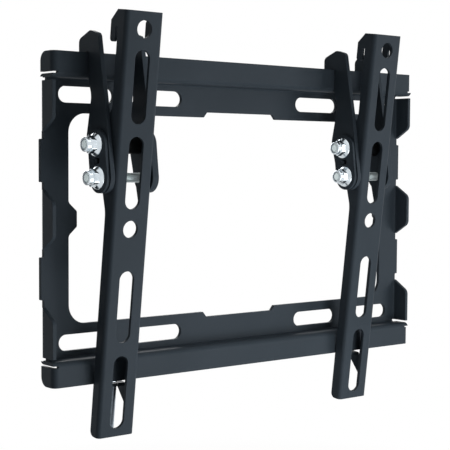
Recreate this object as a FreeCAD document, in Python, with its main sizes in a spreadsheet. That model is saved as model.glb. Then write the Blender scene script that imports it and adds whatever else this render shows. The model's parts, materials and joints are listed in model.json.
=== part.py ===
"""Tilting wall mount for a flat screen: a folded wall plate and two hooked arms that tilt on bolts.

Frame: X to the right, Z up, the wall is the plane Y = 0 and the mount stands out from it towards -Y.
The origin is the middle of the wall plate's back face. All sizes are in millimetres and degrees.
"""
import FreeCAD, Part
import math
import os
from types import SimpleNamespace

import Sketcher

DOC = FreeCAD.newDocument("TvMount")
SHEET = DOC.addObject("Spreadsheet::Sheet", "Sizes")
VECTOR = FreeCAD.Vector

# Driving dimensions, one cell of the sheet each
SIZES = {
    # Wall plate: the sheet and its folds
    "plate_width": 260.0,
    "plate_height": 169.0,
    "plate_depth": 12.8,
    "sheet": 2.0,
    "bend_inside": 1.0,
    "lip_height": 13.2,
    # Wall plate: rails round the window, its raised middle stretch and a blunt bump on each side
    "side_rail": 15.7,
    "long_rail": 30.3,
    "window_corner": 10.0,
    "rise_width": 48.4,
    "rise_height": 2.8,
    "rise_slope": 2.3,
    "bump_depth": 5.0,
    "bump_tip": 8.0,
    "bump_root": 17.0,
    "bump_round": 1.5,
    "bump_root_round": 3.0,
    # Wall plate: two rows of slots for the wall screws, a share of the way from the window to the bend
    "wall_slot_length": 33.5,
    "wall_slot_width": 8.4,
    "outer_slot_inset": 26.4,
    "wall_slot_pitch": 44.9,
    "slot_row_share": 0.58385,
    # Wall plate: side tabs, the ears between them and the nicks that part them
    "tab_depth": 12.2,
    "tab_slope": 0.62,
    "tab_round": 4.0,
    "middle_tab_root": 30.2,
    "end_tab_height": 25.3,
    "ear_proud": 0.7,
    "nick_depth": 1.1,
    "nick_width": 3.9,
    "nick_round": 0.5,
    "corner_relief": 1.9,
    "relief_round": 0.6,
    "tab_shelf_gap": 0.3,
    # Wall plate: end flanges folded back from the lips, parted from the shelf by a slit
    "flange_wall_gap": 0.8,
    "flange_round": 5.0,
    "slit_width": 1.0,
    # Arms: distances from the plate's sides and the channel's section
    "left_arm_inset": 34.7,
    "right_arm_inset": 53.0,
    "arm_width": 22.5,
    "arm_sheet": 1.6,
    "arm_bend_inside": 0.6,
    "channel_depth": 7.1,
    "stop_gap": 0.33,
    # Arms: the face above and below the top screen hole
    "arm_above": 8.8,
    "arm_foot": 25.6,
    "arm_foot_round": 3.0,
    "arm_foot_web": 4.2,
    "screen_hole": 8.8,
    "screen_hole_pitch": 100.0,
    "screen_slot_gap": 10.2,
    "screen_slot_web": 6.2,
    "lower_slot_gap": 21.6,
    "lower_slot_web": 7.0,
    "lower_slot_share": 0.492,
    # Arms: the hook at the top of each flange
    "hook_slope": 5.4,
    "hook_finger": 4.3,
    "hook_finger_drop": 7.2,
    "hook_finger_round": 1.9,
    "hook_gap": 1.8,
    "hook_gap_rise": 0.4,
    "hook_gap_round": 0.7,
    # Arms: the belly of each flange, above the clamp bolt and below the pivot bolt
    "belly_depth": 17.4,
    "belly_start": 18.6,
    "belly_top": 5.6,
    "belly_bottom": 7.8,
    "belly_taper": 5.2,
    "belly_taper_depth": 11.5,
    "belly_end": 17.2,
    "belly_round": 6.0,
    "belly_blend": 16.0,
    # Arms: the lobe behind the right flange and its folded tab, which carry the safety screw
    "lobe_lip_gap": 0.6,
    "lobe_seam": 0.02,
    "lobe_edge": 3.8,
    "lobe_depth": 15.8,
    "lobe_round": 2.0,
    "safety_tab_length": 9.4,
    "safety_tab_start": 8.4,
    # Tilt joint
    "pivot_from_wall": 24.8,
    "pivot_drop": 63.1,
    "pivot_down_arm": 74.8,
    "pivot_in_arm": 8.3,
    "clamp_down_arm": 58.6,
    "clamp_in_arm": 12.3,
    "tilt_travel": 15.0,
    "bolt": 5.0,
    "bolt_clearance": 0.05,
    "slot_clearance": 0.15,
    "sleeve": 9.0,
    "peg": 2.4,
    "peg_orbit": 8.6,
    "peg_angle": 17.5,
    "peg_clearance": 0.3,
    # Hook plates
    "hook_plate": 2.5,
    "hook_plate_gap": 0.3,
    "lip_clearance": 0.4,
    "lip_seat_gap": 0.3,
    "notch_round": 0.6,
    "tongue_height": 11.0,
    "tongue_peak": 1.7,
    "tongue_round": 3.0,
    "tongue_front": 8.8,
    "tongue_front_height": 9.0,
    "tongue_rear_height": 7.0,
    "catch_width": 6.2,
    "catch_drop": 8.8,
    "catch_round": 2.0,
    "hook_foot_front": 9.8,
    "hook_foot_rear": 6.4,
    "hook_foot_below": 7.8,
    "hook_foot_round": 8.0,
    "hook_bulge": 13.8,
    "hook_bulge_rise": 20.0,
    "hook_bulge_round": 10.0,
    "hook_waist": 3.0,
    "hook_waist_drop": 8.3,
    "hook_blend": 6.0,
    "hook_shoulder": 3.6,
    "hook_shoulder_drop": 28.5,
    # Clamp plates, nuts and bolt heads
    "clamp_plate": 1.7,
    "clamp_plate_gap": 0.1,
    "clamp_plate_round": 7.7,
    "nut_flange": 11.8,
    "nut_flange_edge": 0.9,
    "nut_flange_rise": 1.3,
    "nut_across_flats": 8.0,
    "nut_hex_height": 5.0,
    "nut_height": 7.3,
    "nut_collar": 7.4,
    "nut_insert_wall": 0.7,
    "bolt_head_height": 5.2,
    "thread_lead": 0.5,
    # Safety screw
    "safety_screw": 4.0,
    "safety_screw_side": 4.6,
    "safety_screw_in_arm": 12.5,
    "safety_head": 7.4,
    "safety_head_height": 2.9,
    "safety_head_round": 1.7,
    "safety_head_below": 0.9,
}


class Size:
    """A length or an angle: its number, and the expression that ties it to the sheet."""

    def __init__(self, text, number):
        self.text = text
        self.number = number

    def __add__(self, other):
        return Size(f"({self.text} + {text_of(other)})", self.number + number_of(other))

    def __radd__(self, other):
        return Size(f"({text_of(other)} + {self.text})", number_of(other) + self.number)

    def __sub__(self, other):
        return Size(f"({self.text} - {text_of(other)})", self.number - number_of(other))

    def __rsub__(self, other):
        return Size(f"({text_of(other)} - {self.text})", number_of(other) - self.number)

    def __mul__(self, other):
        return Size(f"({self.text} * {text_of(other)})", self.number * number_of(other))

    __rmul__ = __mul__

    def __truediv__(self, other):
        return Size(f"({self.text} / {text_of(other)})", self.number / number_of(other))

    def __neg__(self):
        return Size(f"(0 - {self.text})", -self.number)


def number_of(value):
    """Return the plain number of a size or a number."""
    return value.number if isinstance(value, Size) else float(value)


def text_of(value):
    """Return the expression of a size or a number."""
    return value.text if isinstance(value, Size) else f"({float(value):.6f})"


def sine(angle):
    """Return the sine of an angle in degrees."""
    return Size(f"sin({angle.text})", math.sin(math.radians(angle.number)))


def cosine(angle):
    """Return the cosine of an angle in degrees."""
    return Size(f"cos({angle.text})", math.cos(math.radians(angle.number)))


def angle_of(across, along):
    """Return the angle in degrees whose tangent is across over along."""
    number = math.degrees(math.atan2(across.number, along.number))
    return Size(f"atan2({across.text}; {along.text}) / 1 deg", number)


def arc_sine(ratio):
    """Return the angle in degrees whose sine is the ratio."""
    return Size(f"asin({ratio.text}) / 1 deg", math.degrees(math.asin(ratio.number)))


def length_of(across, along):
    """Return the length of the line with these two legs."""
    number = math.hypot(across.number, along.number)
    return Size(f"hypot({across.text}; {along.text})", number)


def fill_sheet():
    """Write the driving dimensions into the sheet and return them as sizes by name."""
    sizes = SimpleNamespace()
    for row, (name, number) in enumerate(SIZES.items(), start=1):
        SHEET.set(f"A{row}", name)
        SHEET.set(f"B{row}", str(number))
        SHEET.setAlias(f"B{row}", name)
        setattr(sizes, name, Size(f"Sizes.{name}", number))
    DOC.recompute()
    return sizes


S = fill_sheet()
ZERO = Size("0", 0.0)
# How close a coordinate comes to a size, and how nearly an edge runs along an axis
CLOSE = 0.01
ALIGNED = 0.9


def new_body(label):
    """Start a sub-part."""
    body = DOC.addObject("PartDesign::Body", label)
    body.Label = label
    return body


def new_sketch(body, plane, offset=None):
    """Start a sketch on one of the body's own planes, moved along its normal by the offset."""
    sketch = body.newObject("Sketcher::SketchObject", "Sketch")
    support = [item for item in body.Origin.OriginFeatures if item.Role == plane]
    sketch.AttachmentSupport = [(support[0], "")]
    sketch.MapMode = "FlatFace"
    if offset is not None:
        sketch.setExpression("AttachmentOffset.Base.z", text_of(offset))
    return sketch


def tie(sketch, ties):
    """Add constraints in one go, each with the size that its number follows, or None."""
    first = sketch.ConstraintCount
    sketch.addConstraint([constraint for constraint, value in ties])
    for index, (constraint, value) in enumerate(ties, start=first):
        if value is not None:
            sketch.setExpression(f"Constraints[{index}]", text_of(value))


def pinned(element, position, x, y):
    """Return the constraints that hold one point of a sketch element at x, y."""
    across = Sketcher.Constraint("DistanceX", -1, 1, element, position, number_of(x))
    upward = Sketcher.Constraint("DistanceY", -1, 1, element, position, number_of(y))
    return [(across, x), (upward, y)]


def joined(kind, *elements):
    """Return a constraint between sketch elements that needs no number."""
    return [(Sketcher.Constraint(kind, *elements), None)]


def draw_outline(sketch, corners):
    """Draw a closed outline through corners (x, y) or (x, y, radius)."""
    count = len(corners)
    places = [VECTOR(number_of(corner[0]), number_of(corner[1]), 0) for corner in corners]
    arrive, leave, centres = [], [], []
    for i, corner in enumerate(corners):
        here = places[i]
        if len(corner) < 3:
            arrive.append(here)
            leave.append(here)
            centres.append(None)
            continue
        back = (places[i - 1] - here).normalize()
        ahead = (places[(i + 1) % count] - here).normalize()
        half = back.getAngle(ahead) / 2
        reach = number_of(corner[2]) / math.tan(half)
        middle = (back + ahead).normalize()
        arrive.append(here + back * reach)
        leave.append(here + ahead * reach)
        centres.append(here + middle * (number_of(corner[2]) / math.sin(half)))
    spans = [Part.LineSegment(leave[i], arrive[(i + 1) % count]) for i in range(count)]
    lines = sketch.addGeometry(spans, False)
    ties = []
    for i, corner in enumerate(corners):
        if centres[i] is None:
            ties += joined("Coincident", lines[i - 1], 2, lines[i], 1)
            ties += pinned(lines[i], 1, corner[0], corner[1])
        else:
            ties += draw_round(sketch, lines[i - 1], lines[i], (arrive[i], leave[i], centres[i]), corner)
    tie(sketch, ties)


def draw_round(sketch, before, after, points, corner):
    """Round one corner of an outline between two of its lines and return the round's constraints."""
    arrive, leave, centre = points
    turn = (arrive - centre).cross(leave - centre).z
    first, last = (arrive, leave) if turn > 0 else (leave, arrive)
    start = math.atan2(first.y - centre.y, first.x - centre.x)
    stop = math.atan2(last.y - centre.y, last.x - centre.x)
    circle = Part.Circle(centre, VECTOR(0, 0, 1), number_of(corner[2]))
    arc = sketch.addGeometry(Part.ArcOfCircle(circle, start, stop), False)
    first_end, last_end = (1, 2) if turn > 0 else (2, 1)
    point = Part.Point(VECTOR(number_of(corner[0]), number_of(corner[1]), 0))
    tip = sketch.addGeometry(point, True)
    ties = joined("Tangent", before, 2, arc, first_end) + joined("Tangent", arc, last_end, after, 1)
    ties += joined("PointOnObject", tip, 1, before) + joined("PointOnObject", tip, 1, after)
    ties += pinned(tip, 1, corner[0], corner[1])
    ties.append((Sketcher.Constraint("Radius", arc, number_of(corner[2])), corner[2]))
    return ties


def draw_circle(sketch, x, y, diameter):
    """Draw a circle."""
    centre = VECTOR(number_of(x), number_of(y), 0)
    circle = Part.Circle(centre, VECTOR(0, 0, 1), number_of(diameter) / 2)
    index = sketch.addGeometry(circle, False)
    across = Sketcher.Constraint("Diameter", index, number_of(diameter))
    tie(sketch, pinned(index, 3, x, y) + [(across, diameter)])


def draw_slot(sketch, first, second, width):
    """Draw a straight slot with round ends about two centres."""
    begin = VECTOR(number_of(first[0]), number_of(first[1]), 0)
    end = VECTOR(number_of(second[0]), number_of(second[1]), 0)
    radius = number_of(width) / 2
    along = (end - begin).normalize()
    side = VECTOR(-along.y, along.x, 0) * radius
    heading = math.atan2(along.y, along.x)
    quarter = math.pi / 2
    far_circle = Part.Circle(end, VECTOR(0, 0, 1), radius)
    near_circle = Part.Circle(begin, VECTOR(0, 0, 1), radius)
    right, left, far_end, near_end = sketch.addGeometry([
        Part.LineSegment(begin - side, end - side), Part.LineSegment(end + side, begin + side),
        Part.ArcOfCircle(far_circle, heading - quarter, heading + quarter),
        Part.ArcOfCircle(near_circle, heading + quarter, heading + 3 * quarter)], False)
    ties = joined("Equal", far_end, near_end)
    for one, two in ((right, far_end), (far_end, left), (left, near_end), (near_end, right)):
        ties += joined("Tangent", one, 2, two, 1)
    ties += pinned(near_end, 3, *first) + pinned(far_end, 3, *second)
    ties.append((Sketcher.Constraint("Radius", near_end, radius), width / 2))
    tie(sketch, ties)


def draw_arc_slot(sketch, centre, orbit, turns, width):
    """Draw a slot that curves about a centre, between two angles measured from straight up."""
    middle = VECTOR(number_of(centre[0]), number_of(centre[1]), 0)
    radius = number_of(width) / 2
    up = VECTOR(0, 0, 1)
    ends = [(centre[0] + orbit * sine(turn), centre[1] + orbit * cosine(turn)) for turn in turns]
    late, early = [math.radians(90 - turn.number) for turn in turns]
    outer_circle = Part.Circle(middle, up, orbit.number + radius)
    inner_circle = Part.Circle(middle, up, orbit.number - radius)
    arcs = [Part.ArcOfCircle(outer_circle, early, late), Part.ArcOfCircle(inner_circle, early, late)]
    for place, start in zip(ends, (late, early - math.pi)):
        cap_circle = Part.Circle(VECTOR(place[0].number, place[1].number, 0), up, radius)
        arcs.append(Part.ArcOfCircle(cap_circle, start, start + math.pi))
    outer, inner, first, second = sketch.addGeometry(arcs, False)
    ties = joined("Tangent", outer, 2, first, 1) + joined("Tangent", first, 2, inner, 2)
    ties += joined("Tangent", inner, 1, second, 1) + joined("Tangent", second, 2, outer, 1)
    ties += joined("Coincident", outer, 3, inner, 3)
    ties += pinned(outer, 3, *centre) + pinned(first, 3, *ends[0]) + pinned(second, 3, *ends[1])[:1]
    ties.append((Sketcher.Constraint("Radius", first, radius), width / 2))
    tie(sketch, ties)


def draw_hexagon(sketch, across_flats):
    """Draw a hexagon about the sketch's origin, with two flats level."""
    reach = across_flats / math.sqrt(3)
    half = across_flats / 2
    draw_outline(sketch, [(reach, 0), (reach / 2, half), (-reach / 2, half),
                          (-reach, 0), (-reach / 2, -half), (reach / 2, -half)])


def pad(body, sketch, length, both_ways=False, backwards=False):
    """Extrude a sketch, along its normal, against it or half each way."""
    feature = body.newObject("PartDesign::Pad", "Pad")
    feature.Profile = sketch
    feature.SideType = "Symmetric" if both_ways else "One side"
    feature.Reversed = backwards
    feature.setExpression("Length", text_of(length))
    DOC.recompute()
    return feature


def cut(body, sketch, depth=None, along=False):
    """Cut a sketch right through the body, or to a depth along or against its normal."""
    before = body.Shape.Volume
    feature = body.newObject("PartDesign::Pocket", "Pocket")
    feature.Profile = sketch
    if depth is None:
        feature.Type = "ThroughAll"
        feature.SideType = "Symmetric"
    else:
        feature.Reversed = along
        feature.setExpression("Length", text_of(depth))
    DOC.recompute()
    if not body.Shape.Volume < before:
        raise RuntimeError(f"{body.Label}: a cut takes nothing away")
    return feature


def revolve(body, sketch):
    """Turn a sketch once round its own level axis."""
    feature = body.newObject("PartDesign::Revolution", "Revolution")
    feature.Profile = sketch
    feature.ReferenceAxis = (sketch, ["H_Axis"])
    feature.Angle = 360
    DOC.recompute()
    return feature


def round_edges(body, radius, wanted):
    """Round the edges of a body whose middle and direction pass a test."""
    names = []
    for index, edge in enumerate(body.Shape.Edges, start=1):
        if not isinstance(edge.Curve, Part.Line):
            continue
        middle = edge.CenterOfMass
        along = edge.Curve.Direction
        if wanted(middle, along):
            names.append(f"Edge{index}")
    if not names:
        raise RuntimeError(f"{body.Label}: no edge to round")
    base = body.Tip
    feature = body.newObject("PartDesign::Fillet", "Fillet")
    feature.Base = (base, names)
    feature.setExpression("Radius", text_of(radius))
    DOC.recompute()
    return feature


def near(number, size):
    """Tell whether a coordinate lies at a size."""
    return abs(number - number_of(size)) < CLOSE


# Shared places: the plate's folds, the tilt joint and the stack of plates on the bolts
HALF_WIDTH = S.plate_width / 2
LIP_EDGE = S.plate_height / 2
LIP_FRONT = -S.plate_depth
LIP_REAR = LIP_FRONT + S.sheet
SHELF_UNDER = LIP_EDGE - S.lip_height
SHELF_OVER = SHELF_UNDER + S.sheet
BEND_OUTSIDE = S.bend_inside + S.sheet
BEND_LINE = SHELF_UNDER - S.bend_inside
BEND_START = HALF_WIDTH - BEND_OUTSIDE
WINDOW_EDGE = LIP_EDGE - S.long_rail

PIVOT_Y = -S.pivot_from_wall
PIVOT_Z = LIP_EDGE - S.pivot_drop
CLAMP_OUT = S.clamp_in_arm - S.pivot_in_arm
CLAMP_UP = S.pivot_down_arm - S.clamp_down_arm
CLAMP_ORBIT = length_of(CLAMP_OUT, CLAMP_UP)

ARM_HALF = S.arm_width / 2
ARM_INNER = ARM_HALF - S.arm_sheet
HOOK_INNER = ARM_HALF + S.hook_plate_gap
HOOK_OUTER = HOOK_INNER + S.hook_plate
CLAMP_INNER = HOOK_OUTER + S.clamp_plate_gap
STACK = CLAMP_INNER + S.clamp_plate
BOLT_HOLE = S.bolt + 2 * S.bolt_clearance


def rest_tilt():
    """Return the arm's lean at rest, with its flanges a stop gap in front of the lower lip's edge."""
    across = S.pivot_from_wall - S.plate_depth - S.stop_gap
    along = PIVOT_Z + LIP_EDGE
    ratio = (S.pivot_in_arm - S.channel_depth) / length_of(across, along)
    return angle_of(across, along) + arc_sine(ratio)


TILT = rest_tilt()
CLAMP_ANGLE = angle_of(CLAMP_OUT, CLAMP_UP) - TILT


def lobe_top():
    """Return the safety tab's place down the arm, a gap below the lower lip's edge."""
    below_pivot = PIVOT_Z + LIP_EDGE + S.lobe_lip_gap
    lift = (S.lobe_depth - S.pivot_in_arm) * sine(TILT)
    return S.pivot_down_arm + (below_pivot + lift) / cosine(TILT)


LOBE_TOP = lobe_top()
ARM_BELOW = LOBE_TOP + S.arm_foot


def both_sides(corners):
    """Return an outline and its mirror image in x, each with its corners in turn."""
    flipped = [(-corner[0],) + tuple(corner[1:]) for corner in reversed(corners)]
    return [corners, flipped]


def round_the_middle(quarter):
    """Return the whole outline whose quarter, from the middle of the right side to the top, is given."""
    lower = [(corner[0], -corner[1]) + tuple(corner[2:]) for corner in reversed(quarter)]
    right = lower + quarter
    return right + both_sides(right)[1]


def build_wall_plate():
    """Fold the wall plate: flat sheet, shelves and lips, side tabs and end flanges."""
    body = new_body("wall_plate")
    draw_flat_sheet(body)
    cut_window(body)
    cut_wall_slots(body)
    fold_lips(body)
    fold_side_tabs(body)
    fold_end_flanges(body)
    return body


def tab_edges():
    """Return the heights of the middle tab's root, the end tabs' root and the end tabs' top."""
    top = BEND_LINE - S.tab_shelf_gap
    return S.middle_tab_root / 2, top - S.end_tab_height, top


def draw_flat_sheet(body):
    """Pad the flat sheet, whose side edges have nicks that part the ears from the tabs."""
    middle_root, end_root, tab_top = tab_edges()
    nick = HALF_WIDTH - S.nick_depth
    ear = HALF_WIDTH + S.ear_proud
    ear_low = middle_root + S.nick_width
    ear_high = end_root - S.nick_width
    quarter = [(BEND_START, middle_root), (nick, middle_root), (nick, ear_low, S.nick_round),
               (ear, ear_low, S.nick_round), (ear, ear_high, S.nick_round),
               (nick, ear_high, S.nick_round), (nick, end_root), (BEND_START, end_root),
               (BEND_START, tab_top)]
    sheet = new_sketch(body, "XZ_Plane")
    draw_outline(sheet, round_the_middle(quarter))
    pad(body, sheet, S.sheet)


def fold_lips(body):
    """Pad the folded section of each long edge: bend, shelf, bend and lip."""
    root = tab_edges()[2]
    for up in (1, -1):
        section = new_sketch(body, "YZ_Plane")
        draw_outline(section, [
            (ZERO, root * up), (ZERO, SHELF_OVER * up, BEND_OUTSIDE),
            (LIP_REAR, SHELF_OVER * up, S.bend_inside), (LIP_REAR, LIP_EDGE * up),
            (LIP_FRONT, LIP_EDGE * up), (LIP_FRONT, SHELF_UNDER * up, BEND_OUTSIDE),
            (-S.sheet, SHELF_UNDER * up, S.bend_inside), (-S.sheet, root * up)])
        pad(body, section, S.plate_width, both_ways=True)
    ends = new_sketch(body, "XZ_Plane")
    beyond = HALF_WIDTH + S.sheet
    for up in (1, -1):
        lip_end = [(BEND_START, SHELF_OVER * up), (beyond, SHELF_OVER * up),
                   (beyond, (LIP_EDGE + S.sheet) * up), (BEND_START, (LIP_EDGE + S.sheet) * up)]
        for outline in both_sides(lip_end):
            draw_outline(ends, outline)
    cut(body, ends)


def bent_section(front, rear_step, reach):
    """Return the section of a sheet bent through a right angle at the plate's side.

    The flat runs at depth front, with its far face rear_step behind, and the leg ends at depth reach.
    """
    inner = HALF_WIDTH - S.sheet
    start = BEND_START - S.sheet
    return [(start, front), (HALF_WIDTH, front, BEND_OUTSIDE), (HALF_WIDTH, reach),
            (inner, reach), (inner, front + rear_step, S.bend_inside), (start, front + rear_step)]


def fold_side_tabs(body):
    """Pad three tabs on each side, folded forward, then slope and round their ends."""
    middle_root, end_root, tab_top = tab_edges()
    section = bent_section(ZERO, -S.sheet, -S.tab_depth)
    for low, high in ((end_root, tab_top), (-middle_root, middle_root), (-tab_top, -end_root)):
        sketch = new_sketch(body, "XY_Plane", low)
        for outline in both_sides(section):
            draw_outline(sketch, outline)
        pad(body, sketch, high - low)
    corners = new_sketch(body, "YZ_Plane")
    beyond = S.tab_depth + S.sheet
    run = (S.tab_depth - S.sheet) * S.tab_slope
    for root, inward in ((end_root, 1), (-end_root, -1), (middle_root, -1), (-middle_root, 1)):
        full = root + run * inward
        past = full + 2 * S.tab_round * inward
        draw_outline(corners, [(-S.sheet, root), (-beyond, root), (-beyond, past),
                               (-S.tab_depth, past), (-S.tab_depth, full, S.tab_round)])
    cut(body, corners)
    relief = new_sketch(body, "XZ_Plane")
    for up in (1, -1):
        gap = [(BEND_START, tab_top * up), (HALF_WIDTH + S.sheet, tab_top * up),
               (HALF_WIDTH + S.sheet, (tab_top + S.corner_relief) * up),
               (BEND_START, (tab_top + S.corner_relief) * up, S.relief_round)]
        for outline in both_sides(gap):
            draw_outline(relief, outline)
    cut(body, relief, depth=BEND_OUTSIDE, along=True)


def fold_end_flanges(body):
    """Pad the flange at each end of each lip, folded back towards the wall, and round its corner."""
    slit_top = SHELF_OVER + S.slit_width
    section = bent_section(LIP_FRONT, S.sheet, -S.flange_wall_gap)
    for low, high in ((slit_top, LIP_EDGE), (-LIP_EDGE, -slit_top)):
        sketch = new_sketch(body, "XY_Plane", low)
        for outline in both_sides(section):
            draw_outline(sketch, outline)
        pad(body, sketch, high - low)
    round_edges(body, S.flange_round,
                lambda middle, along: near(abs(middle.z), LIP_EDGE) and near(middle.y, -S.flange_wall_gap))


def cut_window(body):
    """Cut the window, with its raised middle stretch and its side bumps."""
    side = HALF_WIDTH - S.side_rail
    half_rise = S.rise_width / 2
    quarter = [(side - S.bump_depth, S.bump_tip / 2, S.bump_round),
               (side, S.bump_root / 2, S.bump_root_round),
               (side, WINDOW_EDGE, S.window_corner), (half_rise + S.rise_slope, WINDOW_EDGE),
               (half_rise, WINDOW_EDGE + S.rise_height)]
    window = new_sketch(body, "XZ_Plane")
    draw_outline(window, round_the_middle(quarter))
    cut(body, window)


def cut_wall_slots(body):
    """Cut two slots to each side of the middle in both rows."""
    slots = new_sketch(body, "XZ_Plane")
    reach = (S.wall_slot_length - S.wall_slot_width) / 2
    row = WINDOW_EDGE + (BEND_LINE - WINDOW_EDGE) * S.slot_row_share
    outer = HALF_WIDTH - S.outer_slot_inset
    inner = outer - S.wall_slot_pitch
    for across in (outer, inner, -inner, -outer):
        for height in (row, -row):
            draw_slot(slots, (across - reach, height), (across + reach, height), S.wall_slot_width)
    cut(body, slots)


def build_arm_channel(label):
    """Fold one arm: a U channel with a hook at its top and a belly round the bolts."""
    body = new_body(label)
    fold_channel(body)
    cut_arm_face(body)
    holes = new_sketch(body, "YZ_Plane")
    draw_circle(holes, S.pivot_in_arm, -S.pivot_down_arm, BOLT_HOLE)
    draw_circle(holes, S.clamp_in_arm, -S.clamp_down_arm, BOLT_HOLE)
    cut(body, holes)
    return body


def fold_channel(body):
    """Pad the flanges' outline across the arm, hollow it from behind and round the two bends."""
    gap_edge = S.channel_depth + S.hook_gap
    hook_edge = gap_edge + S.hook_finger
    outline = [
        (ZERO, S.arm_above), (ZERO, -ARM_BELOW), (S.channel_depth, -ARM_BELOW, S.arm_foot_round),
        (S.channel_depth, -(S.pivot_down_arm + S.belly_end), S.belly_blend),
        (S.belly_taper_depth, -(S.pivot_down_arm + S.belly_taper), S.belly_blend),
        (S.belly_depth, -(S.pivot_down_arm - S.belly_bottom), S.belly_round),
        (S.belly_depth, -(S.clamp_down_arm - S.belly_top), S.belly_round),
        (S.channel_depth, -(S.clamp_down_arm - S.belly_start), S.belly_round),
        (S.channel_depth, S.hook_gap_rise, S.hook_gap_round), (gap_edge, S.hook_gap_rise, S.hook_gap_round),
        (gap_edge, -S.hook_finger_drop, S.hook_finger_round),
        (hook_edge, -S.hook_finger_drop, S.hook_finger_round),
        (hook_edge, S.arm_above - S.hook_slope), (hook_edge - S.hook_slope, S.arm_above)]
    flange = new_sketch(body, "YZ_Plane")
    draw_outline(flange, outline)
    pad(body, flange, S.arm_width, both_ways=True)
    behind = S.belly_depth + hook_edge
    hollow = new_sketch(body, "XY_Plane")
    draw_outline(hollow, [(-ARM_INNER, S.arm_sheet, S.arm_bend_inside),
                          (ARM_INNER, S.arm_sheet, S.arm_bend_inside),
                          (ARM_INNER, behind), (-ARM_INNER, behind)])
    cut(body, hollow)
    round_edges(body, S.arm_bend_inside + S.arm_sheet,
                lambda middle, along: (near(abs(middle.x), ARM_HALF) and near(middle.y, 0)
                                       and abs(along.z) > ALIGNED))


def cut_arm_face(body):
    """Cut the screen holes and the slots between them through the arm's face."""
    face = new_sketch(body, "XZ_Plane")
    for down in (ZERO, S.screen_hole_pitch):
        draw_circle(face, ZERO, -down, S.screen_hole)
    between = (S.screen_hole_pitch - S.screen_slot_web) / 2
    beyond = S.screen_hole_pitch - between
    lower_start = S.screen_hole_pitch + S.lower_slot_gap
    lower_end = ARM_BELOW - S.arm_foot_web
    lower_split = lower_start + (lower_end - lower_start - S.lower_slot_web) * S.lower_slot_share
    reach = S.screen_hole / 2
    for start, end in ((S.screen_slot_gap, between), (beyond, S.screen_hole_pitch - S.screen_slot_gap),
                       (lower_start, lower_split), (lower_split + S.lower_slot_web, lower_end)):
        draw_slot(face, (ZERO, -(start + reach)), (ZERO, -(end - reach)), S.screen_hole)
    cut(body, face)


def build_safety_tab(label):
    """Fold the lobe behind the right flange, whose top is bent over as a tab with the screw's hole."""
    body = new_body(label)
    lobe = new_sketch(body, "YZ_Plane", ARM_INNER)
    root = S.channel_depth + S.lobe_seam
    relief = LOBE_TOP + S.arm_sheet + S.arm_bend_inside
    edge_end = LOBE_TOP + S.lobe_edge
    draw_outline(lobe, [(root, -relief), (S.safety_tab_start, -relief), (S.safety_tab_start, -LOBE_TOP),
                        (S.lobe_depth, -LOBE_TOP), (S.lobe_depth, -edge_end, S.lobe_round),
                        (root, -(edge_end + S.lobe_depth - root))])
    pad(body, lobe, S.arm_sheet)
    tab = new_sketch(body, "XY_Plane", -LOBE_TOP)
    tab_end = ARM_INNER - S.safety_tab_length
    draw_outline(tab, [(ARM_HALF, S.safety_tab_start), (ARM_HALF, S.lobe_depth),
                       (tab_end, S.lobe_depth, S.lobe_round), (tab_end, S.safety_tab_start, S.lobe_round)])
    pad(body, tab, S.arm_sheet, backwards=True)
    round_edges(body, S.arm_bend_inside + S.arm_sheet,
                lambda middle, along: (near(middle.x, ARM_HALF) and near(middle.z, -LOBE_TOP)
                                       and abs(along.y) > ALIGNED))
    hole = new_sketch(body, "XY_Plane")
    draw_circle(hole, S.safety_screw_side, S.safety_screw_in_arm, S.safety_screw + 2 * S.bolt_clearance)
    cut(body, hole)
    return body


def hook_outline():
    """Return the outline of a hook plate: foot round the pivot, notch over the lip, catch and tongue."""
    notch_front = LIP_FRONT - S.lip_clearance
    notch_rear = LIP_REAR + S.lip_clearance
    notch_top = LIP_EDGE + S.lip_seat_gap
    catch_rear = notch_rear + S.catch_width
    catch_tip = notch_top - S.catch_drop
    foot = PIVOT_Z - S.hook_foot_below
    tongue_front = LIP_FRONT - S.tongue_front
    return [(PIVOT_Y - S.hook_foot_front, foot, S.hook_foot_round),
            (PIVOT_Y + S.hook_foot_rear, foot, S.hook_foot_round),
            (PIVOT_Y + S.hook_bulge, PIVOT_Z + S.hook_bulge_rise, S.hook_bulge_round),
            (LIP_FRONT - S.hook_waist, SHELF_UNDER - S.hook_waist_drop, S.hook_bulge_round),
            (notch_front, SHELF_UNDER - S.sheet, S.hook_blend),
            (notch_front, notch_top, S.notch_round), (notch_rear, notch_top, S.notch_round),
            (notch_rear, catch_tip, S.catch_round), (catch_rear, catch_tip, S.catch_round),
            (catch_rear, LIP_EDGE + S.tongue_rear_height, S.tongue_round),
            (LIP_FRONT - S.tongue_peak, LIP_EDGE + S.tongue_height, S.tongue_round),
            (tongue_front, LIP_EDGE + S.tongue_front_height, S.tongue_round),
            (PIVOT_Y - S.hook_shoulder, LIP_EDGE - S.hook_shoulder_drop, S.hook_bulge_round)]


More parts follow.
